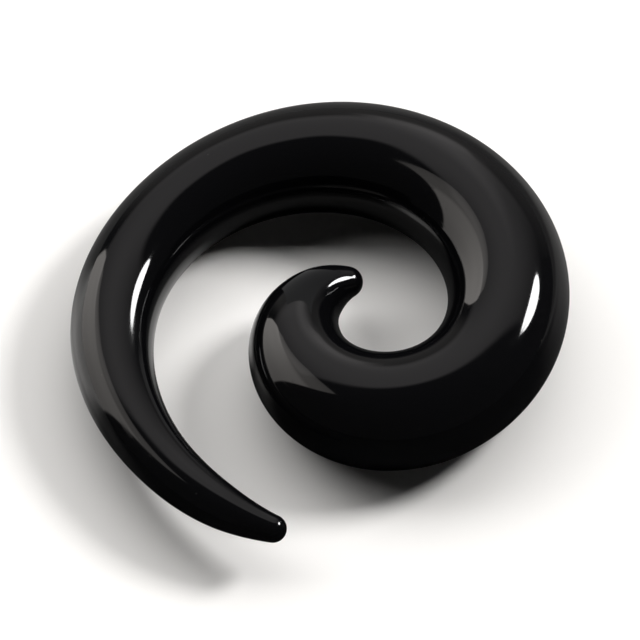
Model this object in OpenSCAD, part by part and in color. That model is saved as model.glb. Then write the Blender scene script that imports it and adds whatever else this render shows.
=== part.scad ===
// Spiral ear taper: one solid rod of acrylic, drawn to a thin point at one end,
// thickest about two thirds of the way along, and bent flat into an open spiral
// that closes in a small round-nosed hook. It lies on its side on a flat surface,
// rocking gently on two places of its underside.
// Units are millimetres, Z is up, and the origin is the middle of the base.

/* [Rod] */
// Length of the middle line, between the centres of the two round ends
rod_length = 108.7; // [106:0.1:111]
// Thickness at the thickest place, which is the gauge it stretches a lobe to
gauge = 10; // [8:0.1:10.6]

/* [Rest] */
// Direction in which the thin end runs on from its tip, in plan from +X
start_heading = 158.5; // [0:0.5:360]
// How far the rod leans down to the left as it lies
lean_left = 2.5; // [0:0.1:5]
// How far the rod leans down to the back as it lies
lean_back = 0.3; // [0:0.1:3]

/* [Mesh] */
// Rings along the rod, without its round ends
rings = 112; // [60:2:128]
// Sides of every ring
sides = 32; // [16:4:36]
// Rings that round off each end
end_rings = 5; // [3:1:8]

/* [Hidden] */

// Columns of the form table: per cent of the way along the rod from the thin
// tip, radius that the middle line bends to, and per cent of the gauge
ALONG = 0;
BEND = 1;
THICK = 2;
FORM = [
    [  0, 19.8,  23],
    [  5, 20.9,  39],
    [ 12, 21.7,  51],
    [ 22, 16.4,  68],
    [ 35, 18.3,  78],
    [ 50, 15.5,  93],
    [ 63, 13.7, 100],
    [ 75, 10.3,  96],
    [ 85,  8.0,  95],
    [ 92,  6.5,  79],
    [ 97,  5.4,  50],
    [100,  4.8,  26],
];

last = rings - 1;
step = rod_length / last;

// Slope of a column at a row, from the rows on either side of it
function slope(column, row) =
    let (before = FORM[max(row - 1, 0)], after = FORM[min(row + 1, len(FORM) - 1)])
    (after[column] - before[column]) / (after[ALONG] - before[ALONG]);

// Row at the start of the stretch that holds a place along the rod
function stretch(place, row = 0) =
    row == len(FORM) - 2 || place < FORM[row + 1][ALONG] ? row : stretch(place, row + 1);

// Value of a column at a place along the rod, on a smooth curve through the rows
function form_at(column, place) =
    let (
        row = stretch(place),
        a = FORM[row],
        b = FORM[row + 1],
        span = b[ALONG] - a[ALONG],
        u = (place - a[ALONG]) / span
    )
    (1 + 2 * u) * (1 - u) ^ 2 * a[column] + u * (1 - u) ^ 2 * span * slope(column, row)
    + u ^ 2 * (3 - 2 * u) * b[column] - u ^ 2 * (1 - u) * span * slope(column, row + 1);

// Half the rod's thickness at a ring
function radius(ring) = gauge / 200 * form_at(THICK, 100 * ring / last);

// Turn of the middle line between a ring and the next, in degrees
function turn(ring) = step / form_at(BEND, 100 * (ring + 0.5) / last) * 180 / PI;

function ahead(angle) = [cos(angle), sin(angle)];

HEADINGS = [for (ring = 0, angle = start_heading; ring < rings;
                 angle = angle - turn(ring), ring = ring + 1) angle];

CENTRES = [for (ring = 0, point = [0, 0]; ring < rings;
                point = point + step * ahead(HEADINGS[ring] - turn(ring) / 2), ring = ring + 1) point];

// Growth of the rod's radius for each millimetre along it, at a ring
function growth(ring) =
    let (a = max(ring - 1, 0), b = min(ring + 1, last))
    (radius(b) - radius(a)) / (step * (b - a));

// The skin is what a ball would sweep that grows and shrinks as it rolls along
// the middle line. It touches the ball on a circle that lies behind the ball's
// centre by the sine of the growth's angle. A section is that circle, as its
// centre in plan, its heading and its radius.
function section(ring, angle) =
    [
        CENTRES[ring] - radius(ring) * sin(angle) * ahead(HEADINGS[ring]),
        HEADINGS[ring],
        radius(ring) * cos(angle)
    ];

thin_angle = asin(growth(0));
hook_angle = asin(growth(last));

SECTIONS = concat(
    [for (i = [1 : end_rings]) section(0, 90 + (thin_angle - 90) * i / (end_rings + 1))],
    [for (ring = [0 : last]) section(ring, asin(growth(ring)))],
    [for (i = [1 : end_rings]) section(last, hook_angle - (90 + hook_angle) * i / (end_rings + 1))]
);

// Point on a section, at an angle round it from the outer side of the spiral
function on_section(s, angle) =
    let (plan = s[0] + s[2] * cos(angle) * ahead(s[1] + 90))
    [plan.x, plan.y, s[2] * sin(angle)];

THIN_TIP = CENTRES[0] - radius(0) * ahead(HEADINGS[0]);
HOOK_TIP = CENTRES[last] + radius(last) * ahead(HEADINGS[last]);

FLAT_POINTS = concat(
    [[THIN_TIP.x, THIN_TIP.y, 0]],
    [for (s = SECTIONS, side = [0 : sides - 1]) on_section(s, 360 * side / sides)],
    [[HOOK_TIP.x, HOOK_TIP.y, 0]]
);

// Lean of a point, first down to the left and then down to the back
function lean(p) =
    let (
        x = p.x * cos(lean_left) - p.z * sin(lean_left),
        up = p.x * sin(lean_left) + p.z * cos(lean_left)
    )
    [x, p.y * cos(lean_back) + up * sin(lean_back), up * cos(lean_back) - p.y * sin(lean_back)];

LEANT = [for (p = FLAT_POINTS) lean(p)];

function column(points, axis) = [for (p = points) p[axis]];
function middle(values) = (min(values) + max(values)) / 2;

BASE = [middle(column(LEANT, 0)), middle(column(LEANT, 1)), min(column(LEANT, 2))];
POINTS = [for (p = LEANT) p - BASE];

// Number of a point, by its section and its place round it
function at(s, side) = 1 + s * sides + side % sides;

final = len(POINTS) - 1;
SIDES = [0 : sides - 1];

FACES = concat(
    [for (side = SIDES) [0, at(0, side), at(0, side + 1)]],
    [for (s = [0 : len(SECTIONS) - 2], side = SIDES, half = [0, 1])
        half == 0
            ? [at(s, side), at(s + 1, side), at(s + 1, side + 1)]
            : [at(s, side), at(s + 1, side + 1), at(s, side + 1)]],
    [for (side = SIDES) [final, at(len(SECTIONS) - 1, side + 1), at(len(SECTIONS) - 1, side)]]
);

module spiral_taper() {
    color([0.05, 0.05, 0.055])
    polyhedron(points = POINTS, faces = FACES, convexity = 6);
}

spiral_taper();
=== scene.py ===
"""Looks of a spiral ear taper: one rod of black acrylic, bent flat into an open spiral.

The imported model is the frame. Its one node is replaced by a skin of the same form,
swept by Geometry Nodes from the same table of rows, with a finer mesh and the finish of
the polished acrylic. Lengths are in metres, Z is up, and the spiral lies on z = 0.
"""

import logging
import math
from collections.abc import Mapping, Sequence
from dataclasses import dataclass, field
from enum import Enum
from typing import Any, ClassVar, Union

import bpy
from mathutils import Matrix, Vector


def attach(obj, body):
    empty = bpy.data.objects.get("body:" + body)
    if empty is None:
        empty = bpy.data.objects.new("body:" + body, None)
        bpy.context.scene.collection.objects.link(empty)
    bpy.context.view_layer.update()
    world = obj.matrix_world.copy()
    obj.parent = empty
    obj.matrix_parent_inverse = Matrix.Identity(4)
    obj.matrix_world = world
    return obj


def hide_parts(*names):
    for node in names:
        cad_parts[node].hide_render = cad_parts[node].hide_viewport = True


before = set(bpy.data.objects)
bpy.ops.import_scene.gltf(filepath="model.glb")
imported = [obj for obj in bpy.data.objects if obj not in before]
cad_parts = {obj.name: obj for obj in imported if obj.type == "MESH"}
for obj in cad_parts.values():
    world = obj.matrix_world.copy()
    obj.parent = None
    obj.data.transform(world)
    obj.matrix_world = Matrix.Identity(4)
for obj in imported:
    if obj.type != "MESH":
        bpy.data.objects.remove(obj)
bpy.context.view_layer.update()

MM = 0.001
MICRON = 1e-6

log = logging.getLogger("spiral_taper")

Colour = tuple[float, float, float]
Point = tuple[float, float, float]
Span = tuple[float, float]
Term = Union["Socket", float, int]
Key = Union[str, int]


class Socket:
    """One output of a node, which Python expressions on values can use."""

    def __init__(self, graph: "Graph", port: bpy.types.NodeSocket) -> None:
        """Keeps the output and the graph that its expressions add nodes to."""
        self.graph = graph
        self.port = port

    def __add__(self, other: Term) -> "Socket":
        """Sum with a value."""
        return self.graph.math("ADD", self, other)

    def __radd__(self, other: Term) -> "Socket":
        """Sum with a value that stands first."""
        return self.graph.math("ADD", other, self)

    def __sub__(self, other: Term) -> "Socket":
        """Difference from a value."""
        return self.graph.math("SUBTRACT", self, other)

    def __rsub__(self, other: Term) -> "Socket":
        """A value less this one."""
        return self.graph.math("SUBTRACT", other, self)

    def __mul__(self, other: Term) -> "Socket":
        """Product with a value."""
        return self.graph.math("MULTIPLY", self, other)

    def __rmul__(self, other: Term) -> "Socket":
        """Product with a value that stands first."""
        return self.graph.math("MULTIPLY", other, self)

    def __truediv__(self, other: Term) -> "Socket":
        """Quotient by a value."""
        return self.graph.math("DIVIDE", self, other)

    def __neg__(self) -> "Socket":
        """The value with its sign turned."""
        return self.graph.math("MULTIPLY", self, -1.0)

    def rise(self, low: float, high: float) -> "Socket":
        """Goes smoothly from 0 at one value to 1 at another.

        Args:
            low: The value at which the result leaves 0.
            high: The value at which the result reaches 1.

        Returns:
            The result, between 0 and 1.
        """
        return self.graph.node(
            "ShaderNodeMapRange",
            {"interpolation_type": "SMOOTHSTEP"},
            {"Value": self, "From Min": low, "From Max": high},
        )["Result"]


class Node:
    """A node of a graph, whose outputs are taken by name."""

    def __init__(self, graph: "Graph", raw: bpy.types.Node) -> None:
        """Keeps the node and its graph."""
        self.graph = graph
        self.raw = raw

    def __getitem__(self, name: str) -> Socket:
        """The output of that name."""
        return Socket(self.graph, Graph.find(self.raw.outputs, name))


class Graph:
    """A node tree of a material, a world or a Geometry Nodes modifier."""

    def __init__(self, tree: bpy.types.NodeTree) -> None:
        """Empties the tree, so that it holds only the nodes that are made here."""
        tree.nodes.clear()
        self.tree = tree

    @staticmethod
    def find(ports: Sequence[bpy.types.NodeSocket], name: Key) -> bpy.types.NodeSocket:
        """Finds a socket of a node.

        Args:
            ports: The node's inputs or outputs.
            name: The socket's name, or its number where names repeat.

        Returns:
            The socket that is in use under that name.
        """
        if isinstance(name, int):
            return ports[name]
        return next(port for port in ports if port.name == name and port.enabled)

    def node(
        self,
        kind: str,
        settings: Mapping[str, Any] | None = None,
        inputs: Mapping[Key, Any] | None = None,
    ) -> Node:
        """Adds a node.

        Args:
            kind: The node's type.
            settings: Its properties, which are set first.
            inputs: What its sockets get: a value, or an output to link.

        Returns:
            The node.
        """
        raw = self.tree.nodes.new(kind)
        for name, value in (settings or {}).items():
            setattr(raw, name, value)
        for name, value in (inputs or {}).items():
            port = self.find(raw.inputs, name)
            if isinstance(value, Socket):
                self.tree.links.new(value.port, port)
            else:
                port.default_value = value
        return Node(self, raw)

    def math(self, operation: str, *terms: Term) -> Socket:
        """Adds a Math node.

        Args:
            operation: What it does with its terms.
            terms: One to three values.

        Returns:
            Its result.
        """
        inputs = dict(enumerate(terms))
        return self.node("ShaderNodeMath", {"operation": operation}, inputs)["Value"]

    def vector_math(self, operation: str, *terms: Union[Socket, Sequence[float]]) -> Socket:
        """Adds a Vector Math node with a vector as its result.

        Args:
            operation: What it does with its terms.
            terms: Vectors or colours.

        Returns:
            Its result.
        """
        inputs = dict(enumerate(terms))
        return self.node("ShaderNodeVectorMath", {"operation": operation}, inputs)["Vector"]

    def vector(self, x: Term, y: Term, z: Term) -> Socket:
        """A vector of three values."""
        return self.node("ShaderNodeCombineXYZ", None, {"X": x, "Y": y, "Z": z})["Vector"]

    def scale(self, vector: Socket, factor: Term) -> Socket:
        """A vector made longer by a factor."""
        inputs = {"Vector": vector, "Scale": factor}
        return self.node("ShaderNodeVectorMath", {"operation": "SCALE"}, inputs)["Vector"]

    def split(self, vector: Socket) -> Node:
        """The three values of a vector, as outputs X, Y and Z."""
        return self.node("ShaderNodeSeparateXYZ", None, {"Vector": vector})

    def surface(self, shader: Socket) -> None:
        """Makes a shader the surface of the material."""
        self.node("ShaderNodeOutputMaterial", None, {"Surface": shader})


def new_material(name: str) -> tuple[bpy.types.Material, Graph]:
    """Makes a material with an empty graph.

    Args:
        name: The material's name.

    Returns:
        The material and its graph.
    """
    material = bpy.data.materials.new(name)
    material.use_nodes = True
    return material, Graph(material.node_tree)


def even_light(name: str, tone: float) -> bpy.types.Material:
    """Makes a material that shines evenly.

    Args:
        name: The material's name.
        tone: Its light, where 1 is the picture's white.

    Returns:
        The material.
    """
    material, graph = new_material(name)
    graph.surface(graph.node("ShaderNodeEmission", None, {"Strength": tone})["Emission"])
    return material


def mesh_object(
    name: str,
    points: Sequence[Point],
    edges: Sequence[tuple[int, int]] = (),
    faces: Sequence[Sequence[int]] = (),
) -> bpy.types.Object:
    """Makes a mesh object at the origin and links it to the scene.

    Args:
        name: The object's name.
        points: Its vertices, in the row frame.
        edges: Its loose edges.
        faces: Its faces, with their corners anticlockwise from outside.

    Returns:
        The object.
    """
    mesh = bpy.data.meshes.new(name)
    mesh.from_pydata(points, edges, faces)
    mesh.update()
    made = bpy.data.objects.new(name, mesh)
    bpy.context.scene.collection.objects.link(made)
    return made


@dataclass(frozen=True)
class BlackAcrylic:
    """Clear-polished acrylic, dyed black right through.

    Attributes:
        tone: Colour of the dyed mass.
        dust_tone: Colour of the fine dust that has settled on it.
        ior: Refractive index of acrylic.
        polish: Roughness where the polish is best.
        haze: Roughness that handling adds in patches.
        haze_length: Length of those patches.
        haze_span: Noise at which a patch begins, and at which it is full.
        swell: Height of the long waves that bending the hot rod leaves.
        swell_along: Length of those waves along the rod.
        swell_round: Length of those waves round the rod.
        ripple: Height of the short ripple that the buffing wheel leaves.
        ripple_length: Length of that ripple.
        scratch: Depth of the hairline scratches.
        scratch_sets: For each set of scratches, its turn round the rod in radians, and
            how many waves of its noise a metre holds along X, Y and Z.
        scratch_span: Noise at which a scratch begins, and at which it is full.
        scratch_haze: Roughness that a scratch adds.
        dust_apart: Distance between neighbouring places that may have a speck of dust.
        dust_chance: Chance below which a place stays clean, and above which it has one.
        dust_span: Shares of the distance over which a speck thins out.
        dust_cover: How much of the acrylic's colour a speck hides.
        dust_haze: Roughness that a speck adds for each share of the colour it hides.
    """

    tone: Colour = (0.0016, 0.0016, 0.0019)
    dust_tone: Colour = (0.030, 0.029, 0.027)
    ior: float = 1.49
    polish: float = 0.055
    haze: float = 0.05
    haze_length: float = 7 * MM
    haze_span: Span = (0.48, 0.72)
    swell: float = 55 * MICRON
    swell_along: float = 8 * MM
    swell_round: float = 4 * MM
    ripple: float = 1.0 * MICRON
    ripple_length: float = 1.1 * MM
    scratch: float = 0.25 * MICRON
    scratch_sets: tuple[tuple[float, Point], ...] = (
        (0.5, (180.0, 3200.0, 3200.0)),
        (1.9, (2600.0, 150.0, 2600.0)),
    )
    scratch_span: Span = (0.80, 0.84)
    scratch_haze: float = 0.08
    dust_apart: float = 1.6 * MM
    dust_chance: Span = (0.70, 0.72)
    dust_span: Span = (0.020, 0.045)
    dust_cover: float = 0.6
    dust_haze: float = 0.25

    def material(self) -> bpy.types.Material:
        """Builds the finish.

        Returns:
            The material.
        """
        material, graph = new_material("black_acrylic")
        straight = graph.node("ShaderNodeAttribute", {"attribute_name": "straight"})["Vector"]
        stretch = (1 / self.swell_along, 1 / self.swell_round, 1 / self.swell_round)
        stretched = graph.vector_math("MULTIPLY", straight, stretch)
        long_wave = self.noise(graph, stretched, 1.0, detail=1.0)
        short_wave = self.noise(graph, straight, 1 / self.ripple_length, detail=2.0)
        handling = self.noise(graph, straight, 1 / self.haze_length, detail=4.0)
        scratches = self.scratches(graph, straight)
        dust = self.dust(graph, straight)

        height = long_wave * self.swell + short_wave * self.ripple
        height = height - scratches * self.scratch
        bump = graph.node(
            "ShaderNodeBump", None, {"Strength": 1.0, "Distance": 1.0, "Height": height}
        )
        colour = graph.node(
            "ShaderNodeMix",
            {"data_type": "RGBA"},
            {"Factor": dust, "A": (*self.tone, 1.0), "B": (*self.dust_tone, 1.0)},
        )
        roughness = self.polish + handling.rise(*self.haze_span) * self.haze
        roughness = roughness + scratches * self.scratch_haze + dust * self.dust_haze
        shader = graph.node(
            "ShaderNodeBsdfPrincipled",
            None,
            {
                "Base Color": colour["Result"],
                "Roughness": roughness,
                "IOR": self.ior,
                "Normal": bump["Normal"],
            },
        )
        graph.surface(shader["BSDF"])
        return material

    @staticmethod
    def noise(graph: Graph, place: Socket, scale: float, detail: float) -> Socket:
        """Adds a noise pattern.

        Args:
            graph: The material's graph.
            place: Where the pattern is read.
            scale: Waves for each unit of the place.
            detail: How many finer layers it has.

        Returns:
            The pattern, about 0.5 on average.
        """
        inputs = {"Vector": place, "Scale": scale, "Detail": detail, "Roughness": 0.5}
        return graph.node("ShaderNodeTexNoise", None, inputs)["Fac"]

    def scratches(self, graph: Graph, straight: Socket) -> Socket:
        """Hairline scratches, a few millimetres long, along the rod and across it.

        Args:
            graph: The material's graph.
            straight: Place on the rod as if it were straight.

        Returns:
            1 in a scratch and 0 beside it.
        """
        found: Socket | None = None
        for turn, stretch in self.scratch_sets:
            turned = graph.node(
                "ShaderNodeVectorRotate",
                {"rotation_type": "X_AXIS"},
                {"Vector": straight, "Angle": turn},
            )["Vector"]
            stretched = graph.vector_math("MULTIPLY", turned, stretch)
            line = self.noise(graph, stretched, 1.0, detail=0.0).rise(*self.scratch_span)
            found = line if found is None else graph.math("MAXIMUM", found, line)
        return found

    def dust(self, graph: Graph, straight: Socket) -> Socket:
        """Specks of dust, a tenth of a millimetre across and a few millimetres apart.

        Args:
            graph: The material's graph.
            straight: Place on the rod as if it were straight.

        Returns:
            The share of the colour that a speck hides, and 0 beside it.
        """
        cells = graph.node(
            "ShaderNodeTexVoronoi",
            {"feature": "F1"},
            {"Vector": straight, "Scale": 1 / self.dust_apart, "Randomness": 1.0},
        )
        chance = graph.split(cells["Color"])["X"]
        speck = 1.0 - cells["Distance"].rise(*self.dust_span)
        return speck * chance.rise(*self.dust_chance) * self.dust_cover


@dataclass(frozen=True)
class FormRow:
    """The rod at one place along it.

    Attributes:
        along: Share of the way from the thin tip.
        bend: Radius that the middle line bends to.
        thick: Share of the gauge.
    """

    along: float
    bend: float
    thick: float


FORM = (
    FormRow(0.00, 19.8 * MM, 0.23),
    FormRow(0.05, 20.9 * MM, 0.39),
    FormRow(0.12, 21.7 * MM, 0.51),
    FormRow(0.22, 16.4 * MM, 0.68),
    FormRow(0.35, 18.3 * MM, 0.78),
    FormRow(0.50, 15.5 * MM, 0.93),
    FormRow(0.63, 13.7 * MM, 1.00),
    FormRow(0.75, 10.3 * MM, 0.96),
    FormRow(0.85, 8.0 * MM, 0.95),
    FormRow(0.92, 6.5 * MM, 0.79),
    FormRow(0.97, 5.4 * MM, 0.50),
    FormRow(1.00, 4.8 * MM, 0.26),
)


@dataclass
class SpiralTaper:
    """The rod, as a skin that a ball would sweep as it rolls along the middle line.

    Attributes:
        length: Length of the middle line.
        gauge: Thickness at the thickest place.
        start_heading: Direction of the thin end in plan, in degrees from +X.
        lean_left: Lean down to the left as it lies, in degrees.
        lean_back: Lean down to the back as it lies, in degrees.
        rings: Rings along the rod, without its round ends.
        sides: Sides of every ring.
        end_rings: Rings that round off each end.
        weld: Distance under which points are joined, at the seam and at the ends.
        rows: The rod's form.
        finish: The rod's material.
    """

    length: float = 108.7 * MM
    gauge: float = 10 * MM
    start_heading: float = 158.5
    lean_left: float = 2.5
    lean_back: float = 0.3
    rings: int = 400
    sides: int = 112
    end_rings: int = 14
    weld: float = 0.2 * MICRON
    rows: Sequence[FormRow] = FORM
    finish: BlackAcrylic = field(default_factory=BlackAcrylic)

    def build(self) -> bpy.types.Object:
        """Builds the skin and puts it in the place of its CAD node.

        Returns:
            The finished piece.
        """
        source = self.form_object()
        modifier = source.modifiers.new("sweep", "NODES")
        modifier.node_group = self.sweep_tree()
        self.set_inputs(modifier)
        skin = self.plain_copy(source, "taper_skin")
        source.modifiers.remove(modifier)
        bpy.data.objects.remove(source)
        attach(skin, "root")
        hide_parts("spiral_taper")
        return skin

    def form_object(self) -> bpy.types.Object:
        """Makes a chain of points, one for each row, that carries the rows' numbers.

        Returns:
            The object, with each point as far along X as its row is along the rod.
        """
        count = len(self.rows)
        chain = mesh_object(
            "taper_form",
            [(row.along, 0.0, 0.0) for row in self.rows],
            [(number, number + 1) for number in range(count - 1)],
        )
        for column in ("bend", "thick"):
            values = [getattr(row, column) for row in self.rows]
            self.store(chain.data, column, values)
            self.store(chain.data, column + "_slope", self.slopes(values))
        return chain

    def slopes(self, values: Sequence[float]) -> list[float]:
        """Works out the slope of a column at each row, from the rows on either side.

        Args:
            values: The column, one value for each row.

        Returns:
            One slope for each row.
        """
        last = len(self.rows) - 1
        found = []
        for number in range(len(self.rows)):
            before, after = max(number - 1, 0), min(number + 1, last)
            run = self.rows[after].along - self.rows[before].along
            found.append((values[after] - values[before]) / run)
        return found

    @staticmethod
    def store(mesh: bpy.types.Mesh, name: str, values: Sequence[float]) -> None:
        """Keeps one number on every point of a mesh.

        Args:
            mesh: The mesh.
            name: The attribute's name.
            values: One number for each point.
        """
        mesh.attributes.new(name, "FLOAT", "POINT").data.foreach_set("value", values)

    def set_inputs(self, modifier: bpy.types.NodesModifier) -> None:
        """Gives the modifier this rod's sizes and finish.

        Args:
            modifier: The modifier that holds the sweep tree.
        """
        values = {
            "Rod Length": self.length,
            "Gauge": self.gauge,
            "Start Heading": math.radians(self.start_heading),
            "Lean Left": math.radians(self.lean_left),
            "Lean Back": math.radians(self.lean_back),
            "Rings": self.rings,
            "Sides": self.sides,
            "End Rings": self.end_rings,
            "Finish": self.finish.material(),
        }
        for item in modifier.node_group.interface.items_tree:
            if item.in_out == "INPUT" and item.name in values:
                modifier[item.identifier] = values[item.name]

    def sweep_tree(self) -> bpy.types.GeometryNodeTree:
        """Builds the tree that sweeps the skin along the middle line.

        Returns:
            The tree, with named inputs for the rod's sizes.
        """
        tree = bpy.data.node_groups.new("sweep_taper", "GeometryNodeTree")
        graph = Graph(tree)
        sockets = {
            "Form": "NodeSocketGeometry",
            "Rod Length": "NodeSocketFloat",
            "Gauge": "NodeSocketFloat",
            "Start Heading": "NodeSocketFloat",
            "Lean Left": "NodeSocketFloat",
            "Lean Back": "NodeSocketFloat",
            "Rings": "NodeSocketInt",
            "Sides": "NodeSocketInt",
            "End Rings": "NodeSocketInt",
            "Finish": "NodeSocketMaterial",
        }
        for name, kind in sockets.items():
            tree.interface.new_socket(name, in_out="INPUT", socket_type=kind)
        tree.interface.new_socket("Skin", in_out="OUTPUT", socket_type="NodeSocketGeometry")
        sizes = graph.node("NodeGroupInput")
        rings = self.ring_line(graph, sizes)
        skin = self.skin(graph, sizes, rings)
        laid = self.lay_down(graph, sizes, skin)
        graph.node("NodeGroupOutput", None, {"Skin": laid})
        return tree

    def ring_line(self, graph: Graph, sizes: Node) -> Socket:
        """Makes one point for each ring, which carries the ring's place, heading and size.

        Args:
            graph: The sweep's graph.
            sizes: The sweep's inputs.

        Returns:
            The line of points.
        """
        last = sizes["Rings"] - 1
        step = sizes["Rod Length"] / last
        number = graph.node("GeometryNodeInputIndex")["Index"]
        line = graph.node(
            "GeometryNodeMeshLine", {"mode": "OFFSET"}, {"Count": sizes["Rings"]}
        )["Mesh"]
        thick = self.form_at(graph, sizes, "thick", number / last)
        line = self.keep(graph, line, "radius", "FLOAT", thick * sizes["Gauge"] * 0.5)
        turn = step / self.form_at(graph, sizes, "bend", (number + 0.5) / last)
        line = self.keep(graph, line, "turn", "FLOAT", turn)

        turn = self.named(graph, "turn", "FLOAT")
        heading = sizes["Start Heading"] - self.sum_before(graph, turn, "FLOAT")
        line = self.keep(graph, line, "heading", "FLOAT", heading)
        heading = self.named(graph, "heading", "FLOAT")
        stride = graph.scale(self.ahead(graph, heading - turn * 0.5), step)
        centre = self.sum_before(graph, stride, "FLOAT_VECTOR")
        line = self.keep(graph, line, "centre", "FLOAT_VECTOR", centre)

        before = graph.math("MAXIMUM", number - 1, 0.0)
        after = graph.math("MINIMUM", number + 1, last)
        growth = self.radius_at(graph, after) - self.radius_at(graph, before)
        tilt = graph.math("ARCSINE", growth / (step * (after - before)))
        return self.keep(graph, line, "tilt", "FLOAT", tilt)

    def form_at(self, graph: Graph, sizes: Node, column: str, place: Socket) -> Socket:
        """Reads a column of the form on a smooth curve through its rows.

        Args:
            graph: The sweep's graph.
            sizes: The sweep's inputs.
            column: The column's name.
            place: Share of the way along the rod.

        Returns:
            The column's value there.
        """
        index = graph.node("GeometryNodeInputIndex")["Index"]
        chain = graph.node("GeometryNodeMeshToCurve", None, {"Mesh": sizes["Form"]})["Curve"]
        where = graph.node(
            "GeometryNodeSampleCurve",
            {"mode": "FACTOR", "data_type": "FLOAT"},
            {"Curves": chain, "Value": index, "Factor": place},
        )["Value"]
        row = graph.math("MINIMUM", graph.math("FLOOR", where), len(self.rows) - 2.0)
        u = where - row
        along = graph.split(graph.node("GeometryNodeInputPosition")["Position"])["X"]
        start, end = (self.sample(graph, sizes, along, row + step) for step in (0, 1))
        span = end - start
        value = self.named(graph, column, "FLOAT")
        slope = self.named(graph, column + "_slope", "FLOAT")
        value_a, value_b = (self.sample(graph, sizes, value, row + step) for step in (0, 1))
        slope_a, slope_b = (self.sample(graph, sizes, slope, row + step) for step in (0, 1))
        rest = 1.0 - u
        return (
            (1.0 + 2.0 * u) * rest * rest * value_a
            + u * rest * rest * span * slope_a
            + u * u * (3.0 - 2.0 * u) * value_b
            - u * u * rest * span * slope_b
        )

    def skin(self, graph: Graph, sizes: Node, rings: Socket) -> Socket:
        """Makes the rod's closed skin, flat in plan and round its middle line.

        Args:
            graph: The sweep's graph.
            sizes: The sweep's inputs.
            rings: The line of ring points.

        Returns:
            The mesh.
        """
        ends = sizes["End Rings"] + 1
        last = sizes["Rings"] - 1
        columns = sizes["Sides"] + 1
        grid = graph.node(
            "GeometryNodeMeshGrid",
            None,
            {"Vertices X": sizes["Rings"] + ends * 2, "Vertices Y": columns},
        )
        number = graph.node("GeometryNodeInputIndex")["Index"]
        row = graph.math("FLOOR", (number + 0.5) / columns)
        around = (number - row * columns) / sizes["Sides"] * (2 * math.pi)
        ring = graph.math("MINIMUM", graph.math("MAXIMUM", row - ends, 0.0), last)
        centre, heading, radius, tilt = (
            self.sample_line(graph, rings, name, ring)
            for name in ("centre", "heading", "radius", "tilt")
        )
        first_cap = graph.math("MAXIMUM", (ends - row) / ends, 0.0)
        last_cap = graph.math("MAXIMUM", (row - ends - last) / ends, 0.0)
        quarter = math.pi / 2
        tilt = tilt + first_cap * (quarter - tilt) - last_cap * (quarter + tilt)

        back = graph.math("SINE", tilt) * radius
        width = graph.math("COSINE", tilt) * radius
        outward = graph.math("COSINE", around) * width
        upward = graph.math("SINE", around) * width
        place = centre
        for offset in (
            graph.scale(self.ahead(graph, heading), -back),
            graph.scale(self.ahead(graph, heading + quarter), outward),
            graph.vector(0.0, 0.0, upward),
        ):
            place = graph.vector_math("ADD", place, offset)
        along = ring / last * sizes["Rod Length"] - back
        straight = graph.vector(along, outward, upward)

        skin = self.keep(graph, grid["Mesh"], "straight", "FLOAT_VECTOR", straight)
        inputs = {"Geometry": skin, "Position": place}
        skin = graph.node("GeometryNodeSetPosition", None, inputs)["Geometry"]
        inputs = {"Geometry": skin, "Distance": self.weld}
        skin = graph.node("GeometryNodeMergeByDistance", None, inputs)["Geometry"]
        skin = graph.node("GeometryNodeFlipFaces", None, {"Mesh": skin})["Mesh"]
        return graph.node("GeometryNodeSetShadeSmooth", None, {"Geometry": skin})["Geometry"]

    @staticmethod
    def lay_down(graph: Graph, sizes: Node, skin: Socket) -> Socket:
        """Leans the skin as it lies, sets its base down on the origin and dresses it.

        Args:
            graph: The sweep's graph.
            sizes: The sweep's inputs.
            skin: The mesh, flat in plan.

        Returns:
            The finished mesh.
        """
        for rotation in (
            graph.vector(0.0, -sizes["Lean Left"], 0.0),
            graph.vector(-sizes["Lean Back"], 0.0, 0.0),
        ):
            inputs = {"Geometry": skin, "Rotation": rotation}
            skin = graph.node("GeometryNodeTransform", None, inputs)["Geometry"]
        box = graph.node("GeometryNodeBoundBox", None, {"Geometry": skin})
        low, high = graph.split(box["Min"]), graph.split(box["Max"])
        middle_x, middle_y = ((low[axis] + high[axis]) * 0.5 for axis in ("X", "Y"))
        shift = graph.vector(-middle_x, -middle_y, -low["Z"])
        inputs = {"Geometry": skin, "Translation": shift}
        skin = graph.node("GeometryNodeTransform", None, inputs)["Geometry"]
        skin = graph.node("GeometryNodeRealizeInstances", None, {"Geometry": skin})["Geometry"]
        inputs = {"Geometry": skin, "Material": sizes["Finish"]}
        return graph.node("GeometryNodeSetMaterial", None, inputs)["Geometry"]

    @staticmethod
    def ahead(graph: Graph, heading: Socket) -> Socket:
        """The level direction of a heading."""
        return graph.vector(graph.math("COSINE", heading), graph.math("SINE", heading), 0.0)

    @staticmethod
    def keep(graph: Graph, mesh: Socket, name: str, kind: str, value: Socket) -> Socket:
        """Stores a value on every point of a mesh.

        Args:
            graph: The sweep's graph.
            mesh: The mesh.
            name: The attribute's name.
            kind: The attribute's data type.
            value: What is stored.

        Returns:
            The mesh that carries it.
        """
        return graph.node(
            "GeometryNodeStoreNamedAttribute",
            {"data_type": kind, "domain": "POINT"},
            {"Geometry": mesh, "Name": name, "Value": value},
        )["Geometry"]

    @staticmethod
    def named(graph: Graph, name: str, kind: str) -> Socket:
        """The stored value of that name."""
        return graph.node(
            "GeometryNodeInputNamedAttribute", {"data_type": kind}, {"Name": name}
        )["Attribute"]

    @staticmethod
    def sum_before(graph: Graph, value: Socket, kind: str) -> Socket:
        """Sum of a value over all the points before this one."""
        return graph.node(
            "GeometryNodeAccumulateField",
            {"data_type": kind, "domain": "POINT"},
            {"Value": value},
        )["Trailing"]

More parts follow.
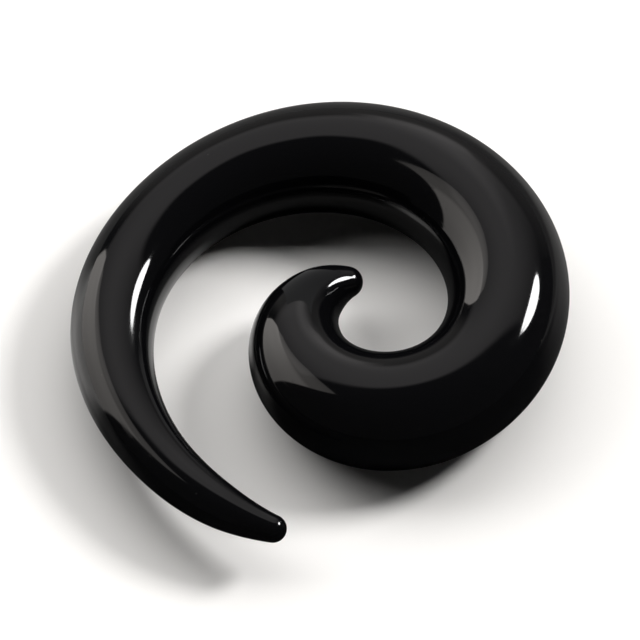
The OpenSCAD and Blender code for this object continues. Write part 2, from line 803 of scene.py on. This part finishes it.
    def radius_at(self, graph: Graph, ring: Socket) -> Socket:
        """Radius of the ring of that number, read from the line of rings itself."""
        return graph.node(
            "GeometryNodeFieldAtIndex",
            {"data_type": "FLOAT", "domain": "POINT"},
            {"Index": ring, "Value": self.named(graph, "radius", "FLOAT")},
        )["Value"]

    @staticmethod
    def sample(graph: Graph, sizes: Node, value: Socket, row: Socket) -> Socket:
        """A value of the form's row of that number."""
        return graph.node(
            "GeometryNodeSampleIndex",
            {"data_type": "FLOAT", "domain": "POINT"},
            {"Geometry": sizes["Form"], "Value": value, "Index": row},
        )["Value"]

    def sample_line(self, graph: Graph, rings: Socket, name: str, ring: Socket) -> Socket:
        """A stored value of the ring of that number."""
        kind = "FLOAT_VECTOR" if name == "centre" else "FLOAT"
        return graph.node(
            "GeometryNodeSampleIndex",
            {"data_type": kind, "domain": "POINT"},
            {"Geometry": rings, "Value": self.named(graph, name, kind), "Index": ring},
        )["Value"]

    @staticmethod
    def plain_copy(source: bpy.types.Object, name: str) -> bpy.types.Object:
        """Turns an object's evaluated form into a plain mesh object.

        Args:
            source: The object with its modifier.
            name: The new object's name.

        Returns:
            The new object, at the origin.
        """
        graph = bpy.context.evaluated_depsgraph_get()
        mesh = bpy.data.meshes.new_from_object(source.evaluated_get(graph), depsgraph=graph)
        mesh.name = name
        made = bpy.data.objects.new(name, mesh)
        bpy.context.scene.collection.objects.link(made)
        return made


class SeenBy(Enum):
    """What a piece of the studio shows up in."""

    PICTURE = "the picture only"
    PICTURE_AND_LIGHT = "the picture and the light on the table"
    SHINE = "the shine of the acrylic only"
    LIGHT = "the light on the table only"

    def apply(self, piece: bpy.types.Object) -> None:
        """Sets what an object shows up in, and reports it.

        Args:
            piece: The object.
        """
        log.info("%s, seen by %s", piece.name, self.value)
        piece.visible_camera = self in (SeenBy.PICTURE, SeenBy.PICTURE_AND_LIGHT)
        piece.visible_glossy = self is SeenBy.SHINE
        piece.visible_diffuse = self in (SeenBy.LIGHT, SeenBy.PICTURE_AND_LIGHT)
        piece.visible_transmission = False
        piece.visible_shadow = self is SeenBy.PICTURE_AND_LIGHT


def direction(azimuth: float, elevation: float) -> Vector:
    """Direction as seen from the spiral.

    Args:
        azimuth: Degrees clockwise from the back, so 90 is to the right.
        elevation: Degrees above the table.

    Returns:
        The unit vector.
    """
    a, e = math.radians(azimuth), math.radians(elevation)
    return Vector((math.sin(a) * math.cos(e), math.cos(a) * math.cos(e), math.sin(e)))


@dataclass(frozen=True)
class Panel:
    """A flat sheet of light, which fades towards its edges and hides nothing behind it.

    Attributes:
        name: Its name.
        foot: First and last corner of its lower side, or of its front.
        head: First and last corner of its upper side, or of its back.
        radiance: Its light, where 1 is the picture's white.
        seen_by: What it shows up in.
        fade: Shares of its width and height over which the light fades, at the
            first side, the last side, the foot and the head.
        first: Light at the first side, against that further on.
        first_share: Share of the width over which that first light changes.
        low: Light at the foot, against that further up.
        low_share: Share of the height over which that low light changes.
        top: Light at the head, against that lower down.
        top_from: Share of the height from which it changes to that.
        tint: Its colour.
    """

    name: str
    foot: tuple[Point, Point]
    head: tuple[Point, Point]
    radiance: float
    seen_by: SeenBy
    fade: tuple[float, ...] = (0.05,) * 4
    first: float = 1.0
    first_share: float = 0.3
    low: float = 1.0
    low_share: float = 0.3
    top: float = 1.0
    top_from: float = 0.5
    tint: Colour = (1.0, 1.0, 1.0)

    STEPS: ClassVar[int] = 12

    @classmethod
    def wall(
        cls,
        name: str,
        facing: float,
        distance: float,
        foot: Span,
        heights: tuple[float, float, float],
        head: Span | None = None,
        **looks: Any,
    ) -> "Panel":
        """An upright sheet.

        Args:
            name: Its name.
            facing: Direction of its nearest place, in degrees clockwise from the back.
            distance: How far away that place is.
            foot: Where its lower side starts and ends beside that place, clockwise,
                as shares of the distance.
            heights: Height of its lower side, and of the start and the end of its
                upper side, as shares of the distance.
            head: Where its upper side starts and ends, if not right over the lower one.
            looks: The sheet's other values.

        Returns:
            The sheet.
        """
        near, run = direction(facing, 0.0), direction(facing + 90.0, 0.0)
        sides = []
        for ends, rises in ((foot, heights[:1] * 2), (head or foot, heights[1:])):
            spots = (near + run * end + Vector((0, 0, up)) for end, up in zip(ends, rises))
            sides.append(tuple(tuple(spot * distance) for spot in spots))
        return cls(name, *sides, **looks)

    @classmethod
    def ceiling(
        cls,
        name: str,
        height: float,
        front: Span,
        back: Span,
        depth: tuple[float, float, float],
        **looks: Any,
    ) -> "Panel":
        """A level sheet overhead.

        Args:
            name: Its name.
            height: Its height above the table.
            front: Where its front starts and ends along X, as shares of the height.
            back: The same for its back.
            depth: Where its front starts and ends along Y, and where its back is, as
                shares of the height.
            looks: The sheet's other values.

        Returns:
            The sheet.
        """
        sides = []
        for ends, depths in ((front, depth[:2]), (back, depth[2:] * 2)):
            spots = ((x * height, y * height, height) for x, y in zip(ends, depths))
            sides.append(tuple(spots))
        return cls(name, *sides, **looks)

    def build(self) -> bpy.types.Object:
        """Makes the sheet.

        Returns:
            The stage piece.
        """
        foot = [Vector(corner) for corner in self.foot]
        head = [Vector(corner) for corner in self.head]
        shares = [step / self.STEPS for step in range(self.STEPS + 1)]
        places = [(u, v) for v in shares for u in shares]
        points = []
        for u, v in places:
            low, high = foot[0].lerp(foot[1], u), head[0].lerp(head[1], u)
            points.append(tuple(low.lerp(high, v)))
        row = self.STEPS + 1
        faces = []
        for start in range(self.STEPS * row):
            if start % row < self.STEPS:
                faces.append((start, start + 1, start + row + 1, start + row))
        sheet = mesh_object(self.name, points, faces=faces)
        uv = sheet.data.uv_layers.new(name="sheet")
        for loop, target in zip(sheet.data.loops, uv.data):
            target.uv = places[loop.vertex_index]
        sheet.data.materials.append(self.material())
        self.seen_by.apply(sheet)
        return sheet

    def material(self) -> bpy.types.Material:
        """Builds the sheet's light.

        Returns:
            The material.
        """
        material, graph = new_material(self.name)
        place = graph.split(graph.node("ShaderNodeUVMap", {"uv_map": "sheet"})["UV"])
        u, v = place["X"], place["Y"]
        left, right, foot, head = self.fade
        edges = u.rise(0.0, left) * (1.0 - u).rise(0.0, right)
        edges = edges * v.rise(0.0, foot) * (1.0 - v).rise(0.0, head)
        onward = u.rise(0.0, self.first_share) * (1.0 - self.first) + self.first
        upward = v.rise(0.0, self.low_share) * (1.0 - self.low) + self.low
        upward = upward * (v.rise(self.top_from, 1.0) * (self.top - 1.0) + 1.0)
        strength = edges * onward * upward * self.radiance
        light = graph.scale(graph.vector(*self.tint), strength)
        glow = graph.node("ShaderNodeEmission", None, {"Color": light, "Strength": 1.0})
        clear = graph.node("ShaderNodeBsdfTransparent")
        both = {0: glow["Emission"], 1: clear["BSDF"]}
        graph.surface(graph.node("ShaderNodeAddShader", None, both)["Shader"])
        if self.seen_by is SeenBy.SHINE:
            material.cycles.emission_sampling = "NONE"
        return material


@dataclass(frozen=True)
class Lamp:
    """An oval, frosted lamp head, which faces the spiral.

    Attributes:
        name: Its name.
        azimuth: Its direction in plan, in degrees clockwise from the back.
        elevation: Its height above the table, in degrees.
        width: How wide it looks from the spiral, in degrees.
        height: How tall it looks from the spiral, in degrees.
        radiance: Its light, where 1 is the picture's white.
        seen_by: What it shows up in.
        roll: How far its right end is turned up, in degrees.
        distance: How far away it stands.
    """

    name: str
    azimuth: float
    elevation: float
    width: float
    height: float
    radiance: float
    seen_by: SeenBy
    roll: float = 0.0
    distance: float = 0.9

    CORNERS: ClassVar[int] = 48

    def build(self) -> bpy.types.Object:
        """Makes the lamp head.

        Returns:
            The stage piece.
        """
        facing = direction(self.azimuth, self.elevation)
        level = facing.cross(Vector((0, 0, 1))).normalized()
        upright = level.cross(facing)
        roll = math.radians(self.roll)
        side = level * math.cos(roll) + upright * math.sin(roll)
        rise = upright * math.cos(roll) - level * math.sin(roll)
        half_width, half_height = (
            self.distance * math.tan(math.radians(size / 2))
            for size in (self.width, self.height)
        )
        rim = []
        for number in range(self.CORNERS):
            turn = 2 * math.pi * number / self.CORNERS
            across = side * (math.cos(turn) * half_width)
            offset = across + rise * (math.sin(turn) * half_height)
            rim.append(tuple(facing * self.distance + offset))
        head = mesh_object(self.name, rim, faces=[tuple(range(self.CORNERS))])
        head.data.materials.append(even_light(self.name, self.radiance))
        self.seen_by.apply(head)
        return head


@dataclass(frozen=True)
class PaintedReflectionCard:
    """A small upright card, which keeps the light behind it out of one place's shine.

    Seen only in the shine, its grey side glows and paints a dim reflection there.

    Attributes:
        name: Its name.
        width: Where it starts and ends along X.
        place: Where it stands along Y.
        height: Height of its lower and its upper side.
        tone: Its light, where 1 is the picture's white.
        seen_by: What it shows up in.
    """

    name: str
    width: Span
    place: float
    height: Span
    tone: float
    seen_by: SeenBy

    THICKNESS: ClassVar[float] = 0.05 * MM

    def build(self) -> bpy.types.Object:
        """Makes the card, which glows grey on the side of the hook's tip, a painted
        reflection there, and is black on its back.

        Returns:
            The stage piece.
        """
        (left, right), (low, high) = self.width, self.height
        corners = ((left, low), (right, low), (right, high), (left, high))
        sides = (self.place, self.place + self.THICKNESS)
        points = [(x, y, z) for y in sides for x, z in corners]
        card = mesh_object(self.name, points, faces=[(0, 1, 2, 3), (7, 6, 5, 4)])
        for side, tone in enumerate((self.tone, 0.0)):
            material = even_light(f"{self.name}_{side}", tone)
            material.cycles.emission_sampling = "NONE"
            card.data.materials.append(material)
            card.data.polygons[side].material_index = side
        self.seen_by.apply(card)
        return card


@dataclass(frozen=True)
class Table:
    """The pale table, and the tone that the acrylic's shine shows of it.

    The shine has a table of its own, which shows only in the shine. Its colour is
    painted reflection, with its own tone for each side: dark behind and in front of
    the spiral, light to its left and lit up in the gap. The two numbers of a span are
    where a tone starts to show and where it is full, and those of an end are where it
    starts to go and where it is gone.

    Attributes:
        reach: Half the table's width.
        lift: How far above the table the table of the shine lies.
        tone: Colour of the table.
        left: Tone in the shine to the left, against a white of 1.
        left_span: The span of that tone, from the middle towards the front left.
        left_front: Its other span, from front to back.
        back: Tone in the shine to the back.
        back_span: The span of the tones behind the spiral, from front to back.
        right: Tone in the shine to the right.
        right_span: The span of that tone, from left to right.
        near_right: Tone in the shine close by on the right.
        near_span: The span of that tone, from left to right.
        near_end: Its end, from front to back.
        far_right: Tone in the shine further off to the right.
        far_span: The span of that tone, from left to right.
        far_end: Its end, from front to back.
        front: Tone in the shine to the front.
        front_left: Tone in the shine to the front, on the left.
        front_left_span: The span of that tone, from right to left.
        front_left_front: Its other span, from front to back.
        gap: Painted light that the shine adds between the rod's left side and
        its thick end.
        gap_middle: The middle of that gap, along X and Y.
        gap_end: The end of that light, outwards from there.
    """

    reach: float = 3.0
    lift: float = 10 * MICRON
    tone: Colour = (0.865, 0.85, 0.832)
    left: float = 0.78
    left_span: Span = (10 * MM, 26 * MM)
    left_front: Span = (-10 * MM, -2 * MM)
    back: float = 0.12
    back_span: Span = (-8 * MM, 14 * MM)
    right: float = 0.07
    right_span: Span = (5 * MM, 30 * MM)
    near_right: float = 0.18
    near_span: Span = (15 * MM, 25 * MM)
    near_end: Span = (22 * MM, 44 * MM)
    far_right: float = 0.05
    far_span: Span = (38 * MM, 60 * MM)
    far_end: Span = (8 * MM, 24 * MM)
    front: float = 0.010
    front_left: float = 0.08
    front_left_span: Span = (8 * MM, 25 * MM)
    front_left_front: Span = (-18 * MM, -10 * MM)
    gap: float = 0.62
    gap_middle: Span = (-9.5 * MM, 3.5 * MM)
    gap_end: Span = (2.5 * MM, 6 * MM)

    def build(self) -> None:
        """Makes both tables."""
        for name, height, seen_by, material in (
            ("table", 0.0, SeenBy.PICTURE_AND_LIGHT, self.plain()),
            # The second table is a painted reflection, seen only in the shine.
            ("table_painted_reflection", self.lift, SeenBy.SHINE, self.painted_reflection()),
        ):
            r = self.reach
            top = mesh_object(
                name,
                [(-r, -r, height), (r, -r, height), (r, r, height), (-r, r, height)],
                faces=[(0, 1, 2, 3)],
            )
            top.data.materials.append(material)
            seen_by.apply(top)

    def plain(self) -> bpy.types.Material:
        """The material of the table itself.

        Returns:
            The material.
        """
        material, graph = new_material("table")
        paper = {"Color": (*self.tone, 1.0), "Roughness": 0.5}
        graph.surface(graph.node("ShaderNodeBsdfDiffuse", None, paper)["BSDF"])
        return material

    def painted_reflection(self) -> bpy.types.Material:
        """The material of the table as the acrylic shows it.

        Returns:
            The material, whose painted tone depends on the side of the spiral.
        """
        material, graph = new_material("table_painted_reflection")
        place = graph.split(graph.node("ShaderNodeTexCoord")["Object"])
        x, y = place["X"], place["Y"]
        near = x.rise(*self.near_span) * (1.0 - y.rise(*self.near_end))
        far = x.rise(*self.far_span) * (1.0 - y.rise(*self.far_end))
        leftward = (-x - y).rise(*self.left_span) * y.rise(*self.left_front)
        across, along = x - self.gap_middle[0], y - self.gap_middle[1]
        apart = graph.math("SQRT", across * across + along * along)
        painted_gap_mask = 1.0 - apart.rise(*self.gap_end)
        beside = (-x).rise(*self.front_left_span) * y.rise(*self.front_left_front)
        front = self.front + beside * (self.front_left - self.front)
        # Painted reflection: the table of the shine gets a tone for each side of the spiral.
        tone = self.back + x.rise(*self.right_span) * (self.right - self.back)
        tone = tone + near * (self.near_right - tone)
        tone = tone + far * (self.far_right - tone)
        tone = front + y.rise(*self.back_span) * (tone - front)
        tone = tone + leftward * (self.left - tone) + painted_gap_mask * self.gap
        hue = tuple(part / self.tone[1] for part in self.tone)
        colour = graph.scale(graph.vector(*hue), tone)
        graph.surface(graph.node("ShaderNodeBsdfDiffuse", None, {"Color": colour})["BSDF"])
        return material


@dataclass
class Studio:
    """The table, the lights round it and the camera.

    Attributes:
        view_elevation: The camera's height above the table, in degrees.
        view_distance: How far away the camera stands.
        view_width: Width of what it sees at the spiral.
        view_reach: Nearest and furthest distance that it sees.
        film: Width of its film, in millimetres.
        aim: The point that it looks at.
        room: Tone of the dark room, which the acrylic mirrors.
        backdrop: Tone of the paper wall behind the table.
        wall_reach: Distance of the room and the paper wall, against the table's reach.
        wall_foot: Height at which both of them start.
        table: The table.
    """

    view_elevation: float = 57.7
    view_distance: float = 1.2
    view_width: float = 52 * MM
    view_reach: Span = (0.01, 10.0)
    film: float = 36.0
    aim: Point = (0.0, 0.0, 5.1 * MM)
    room: float = 0.03
    backdrop: float = 0.9
    wall_reach: float = 0.98
    wall_foot: float = -0.1
    table: Table = field(default_factory=Table)

    DRUM_SIDES: ClassVar[int] = 64
    WARM: ClassVar[Colour] = (1.05, 1.0, 0.955)
    PALE: ClassVar[Colour] = (1.04, 1.0, 1.0)

    def build(self) -> None:
        """Makes the whole studio."""
        self.table.build()
        self.drum("paper_wall", self.backdrop, SeenBy.PICTURE)
        self.drum("dark_room", self.room, SeenBy.SHINE)
        for fitting in (*self.table_lights(), *self.shine_lights()):
            fitting.build()
        self.world()
        self.camera()
        bpy.context.scene.view_settings.view_transform = "Standard"

    @staticmethod
    def table_lights() -> list[Union[Panel, Lamp]]:
        """The lamp and the sheets of light that light the table.

        Returns:
            The lights, in the order in which they are made.
        """
        return [
            Lamp(
                "lamp",
                azimuth=66.0,
                elevation=40.0,
                width=17.0,
                height=17.0,
                radiance=43.5,
                seen_by=SeenBy.LIGHT,
            ),
            Panel.ceiling(
                "overhead_softbox",
                height=0.8,
                front=(-2.2, 1.25),
                back=(-2.2, 1.25),
                depth=(0.20, 0.20, 1.66),
                radiance=3.05,
                seen_by=SeenBy.LIGHT,
                fade=(0.03,) * 4,
            ),
            Panel.wall(
                "side_fill",
                facing=-67.0,
                distance=0.8,
                foot=(-0.48, 0.48),
                heights=(0.66, 1.35, 1.35),
                radiance=2.7,
                seen_by=SeenBy.LIGHT,
            ),
            Panel.wall(
                "front_fill",
                facing=-148.0,
                distance=0.8,
                foot=(-0.66, 0.66),
                heights=(0.30, 0.37, 0.37),
                radiance=1.7,
                seen_by=SeenBy.LIGHT,
            ),
        ]

    def shine_lights(self) -> list[Union[Panel, Lamp, PaintedReflectionCard]]:
        """What the acrylic mirrors beside the table: a lamp, sheets of light and a card
        that paints a dim reflection at the hook's tip.

        Returns:
            The lights and the card, in the order in which they are made.
        """
        return [
            Lamp(
                "lamp_in_shine",
                azimuth=67.8,
                elevation=36.1,
                width=21.8,
                height=13.8,
                radiance=27.0,
                seen_by=SeenBy.SHINE,
                roll=33.0,
            ),
            Panel.wall(
                "side_softbox",
                facing=-97.8,
                distance=1.6,
                foot=(0.125, 1.42),
                head=(-0.02, 1.72),
                heights=(0.0, 1.10, 1.06),
                radiance=2.35,
                seen_by=SeenBy.SHINE,
                fade=(0.025, 0.02, 0.005, 0.2),
                first=0.6,
                first_share=0.7,
                low=0.76,
                low_share=0.55,
                tint=self.WARM,
            ),
            Panel.wall(
                "side_glow",
                facing=-97.8,
                distance=1.65,
                foot=(0.01, 1.65),
                head=(-0.28, 1.72),
                heights=(0.88, 2.65, 1.07),
                radiance=1.15,
                seen_by=SeenBy.SHINE,
                fade=(0.025, 0.02, 0.13, 0.015),
                first=0.7,
                first_share=0.6,
                top=0.5,
                top_from=0.15,
                tint=self.WARM,
            ),
            Panel.ceiling(
                "ceiling",
                height=0.8,
                front=(-0.95, 1.52),
                back=(-2.4, 3.19),
                depth=(0.14, 0.28, 2.8),
                radiance=0.62,
                seen_by=SeenBy.SHINE,
                fade=(0.07, 0.75, 0.05, 0.5),
                first=0.4,
                first_share=0.42,
                tint=self.PALE,
            ),
            Panel.wall(
                "light_strip",
                facing=0.0,
                distance=1.0,
                foot=(-0.125, 0.47),
                heights=(0.15, 1.88, 1.88),
                radiance=0.466,
                seen_by=SeenBy.SHINE,
                fade=(0.6, 0.6, 0.14, 0.95),
                tint=self.PALE,
            ),
            Panel.wall(
                "strip_foot",
                facing=0.0,
                distance=0.97,
                foot=(-0.05, 0.33),
                heights=(0.26, 0.60, 0.60),
                radiance=0.33,
                seen_by=SeenBy.SHINE,
                fade=(0.25, 0.15, 0.27, 0.6),
                tint=self.PALE,
            ),
            Panel.wall(
                "back_wall",
                facing=0.0,
                distance=1.77,
                foot=(-0.78, 1.79),
                heights=(0.0, 0.76, 0.76),
                radiance=0.173,
                seen_by=SeenBy.SHINE,
                fade=(0.12, 0.77, 0.02, 0.59),
                tint=self.WARM,
            ),
            # Painted reflection: a card, seen only in the shine, dims the hook tip's
            # reflection.
            PaintedReflectionCard(
                "tip_painted_reflection",
                width=(-4.0 * MM, 1.9 * MM),
                place=4.0 * MM,
                height=(6.3 * MM, 10.0 * MM),
                tone=0.27,
                seen_by=SeenBy.SHINE,
            ),
        ]

    @staticmethod
    def world() -> None:
        """Makes the world black, so that all light comes from the pieces of the studio."""
        world = bpy.data.worlds.new("room")
        bpy.context.scene.world = world
        world.use_nodes = True
        graph = Graph(world.node_tree)
        dark = graph.node("ShaderNodeBackground", None, {"Strength": 0.0})
        graph.node("ShaderNodeOutputWorld", None, {"Surface": dark["Background"]})

    def drum(self, name: str, tone: float, seen_by: SeenBy) -> None:
        """Makes a round wall with a lid, which stands round everything and faces inwards.

        Args:
            name: Its name.
            tone: Its light, where 1 is the picture's white.
            seen_by: What it shows up in.
        """
        sides = self.DRUM_SIDES
        turns = [2 * math.pi * number / sides for number in range(sides)]
        reach = self.table.reach * self.wall_reach
        points = [
            (reach * math.cos(turn), reach * math.sin(turn), height)
            for height in (self.wall_foot, reach)
            for turn in turns
        ]
        faces: list[tuple[int, ...]] = [tuple(range(2 * sides - 1, sides - 1, -1))]
        for number in range(sides):
            after = (number + 1) % sides
            faces.append((after, number, number + sides, after + sides))
        wall = mesh_object(name, points, faces=faces)
        material = even_light(name, tone)
        material.cycles.emission_sampling = "NONE"
        wall.data.materials.append(material)
        seen_by.apply(wall)

    def camera(self) -> None:
        """Makes the camera, with a long lens, at the photograph's viewing angle."""
        lens = bpy.data.cameras.new("camera")
        lens.sensor_width = self.film
        lens.lens = self.film * self.view_distance / self.view_width
        lens.clip_start, lens.clip_end = self.view_reach
        camera = bpy.data.objects.new("camera", lens)
        bpy.context.scene.collection.objects.link(camera)
        away = direction(180.0, self.view_elevation)
        camera.location = Vector(self.aim) + away * self.view_distance
        camera.rotation_mode = "QUATERNION"
        camera.rotation_quaternion = (-away).to_track_quat("-Z", "Y")
        bpy.context.scene.camera = camera


def main() -> None:
    """Builds the spiral and its studio."""
    logging.basicConfig(level=logging.INFO)
    skin = SpiralTaper().build()
    log.info("%s: %d faces", skin.name, len(skin.data.polygons))
    Studio().build()


if __name__ == "__main__":
    main()
